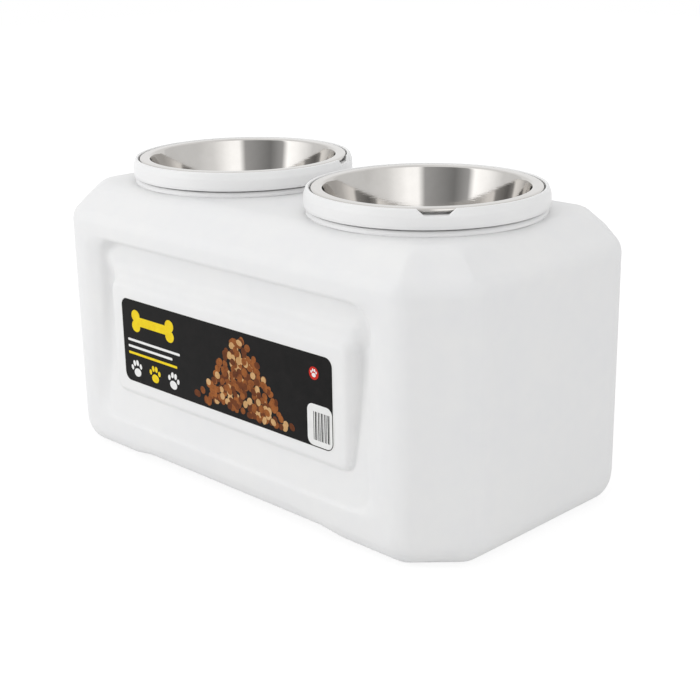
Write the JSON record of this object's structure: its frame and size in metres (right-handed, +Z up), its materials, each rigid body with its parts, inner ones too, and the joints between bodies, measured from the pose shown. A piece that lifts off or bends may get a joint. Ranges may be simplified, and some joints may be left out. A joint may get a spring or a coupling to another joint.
{
  "type": "elevated dog feeder with storage",
  "caption": "Raised dog feeder: a blow-moulded food bin with faceted corners, a recessed label panel, screw-on lids and steel bowls that hang in the lids.",
  "frame": {"origin": "on the floor, under the middle of the bin", "axes": "+X along the long side towards the right bowl when the label is seen from the front, +Y from the label towards the back, +Z up"},
  "size_m": [0.636, 0.344, 0.35],
  "materials": {
    "bin_plastic": "fine matte blow-moulded polyethylene",
    "lid_plastic": "satin injection-moulded polypropylene",
    "seal_rubber": "soft matte foam rubber",
    "bowl_steel": "satin spun stainless steel",
    "label_film": "printed satin film"
  },
  "bodies": {
    "bin": {"bin_body": "bin_plastic", "left_collar": "lid_plastic", "right_collar": "lid_plastic", "left_collar_seal": "seal_rubber", "right_collar_seal": "seal_rubber", "front_label": "label_film"},
    "left_lid_seal": {"left_lid_seal": "seal_rubber"},
    "left_lid": {"left_lid": "lid_plastic"},
    "left_bowl": {"left_bowl": "bowl_steel"},
    "right_lid_seal": {"right_lid_seal": "seal_rubber"},
    "right_lid": {"right_lid": "lid_plastic"},
    "right_bowl": {"right_bowl": "bowl_steel"}
  },
  "joints": [
    {"name": "left_lid_lift", "type": "slide", "parent": "bin", "child": "left_lid_seal", "axis": [0, 0, 1], "range_m": [0, 0.072]},
    {"name": "left_lid_turn", "type": "hinge", "parent": "left_lid_seal", "child": "left_lid", "pos_m": [-0.1475, 0, 0.33], "axis": [0, 0, 1], "range_deg": [0, 1081]},
    {"name": "left_bowl_lift", "type": "slide", "parent": "left_lid", "child": "left_bowl", "axis": [0, 0, 1], "range_m": [0, 0.08]},
    {"name": "right_lid_lift", "type": "slide", "parent": "bin", "child": "right_lid_seal", "axis": [0, 0, 1], "range_m": [0, 0.072]},
    {"name": "right_lid_turn", "type": "hinge", "parent": "right_lid_seal", "child": "right_lid", "pos_m": [0.1475, 0, 0.33], "axis": [0, 0, 1], "range_deg": [0, 1081]},
    {"name": "right_bowl_lift", "type": "slide", "parent": "right_lid", "child": "right_bowl", "axis": [0, 0, 1], "range_m": [0, 0.08]}
  ],
  "couplings": [
    {"joint": "left_lid_turn", "follows": "left_lid_lift", "rad_per_m": 261.8},
    {"joint": "right_lid_turn", "follows": "right_lid_lift", "rad_per_m": 261.8}
  ]
}
